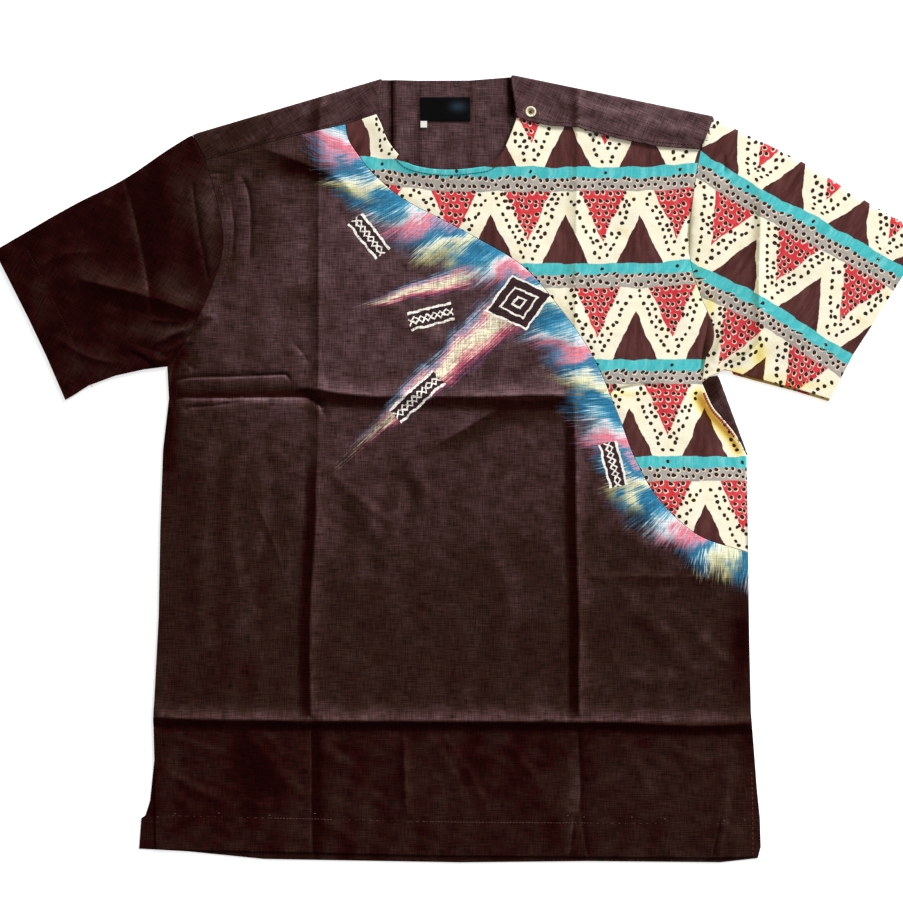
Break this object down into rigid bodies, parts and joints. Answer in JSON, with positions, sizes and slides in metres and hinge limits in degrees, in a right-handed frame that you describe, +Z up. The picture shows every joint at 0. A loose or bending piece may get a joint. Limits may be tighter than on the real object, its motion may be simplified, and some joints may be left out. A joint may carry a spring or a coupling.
{
  "type": "short-sleeve shirt",
  "caption": "Short-sleeve cotton shirt laid flat face up, round neck, buttoned shoulder strap, plain front joined by a long curved seam to a printed insert and sleeve.",
  "frame": {"origin": "on the surface that the shirt lies on, below the middle of its outline", "axes": "+X from the picture's left cuff to its right cuff, +Y from the hem to the neck, +Z up from the surface"},
  "size_m": [0.9342, 0.7884, 0.0097],
  "materials": {
    "brown_cotton": "matt plain weave",
    "wax_print": "printed plain weave",
    "button": "polished, horn look",
    "label": "satin weave",
    "white_tape": "woven tape"
  },
  "bodies": {
    "root": {"back": "brown_cotton", "front_main": "brown_cotton", "front_insert": "wax_print", "sleeve_left": "brown_cotton", "sleeve_right": "wax_print", "button": "button", "label": "label", "size_tab": "white_tape"}
  },
  "joints": []
}
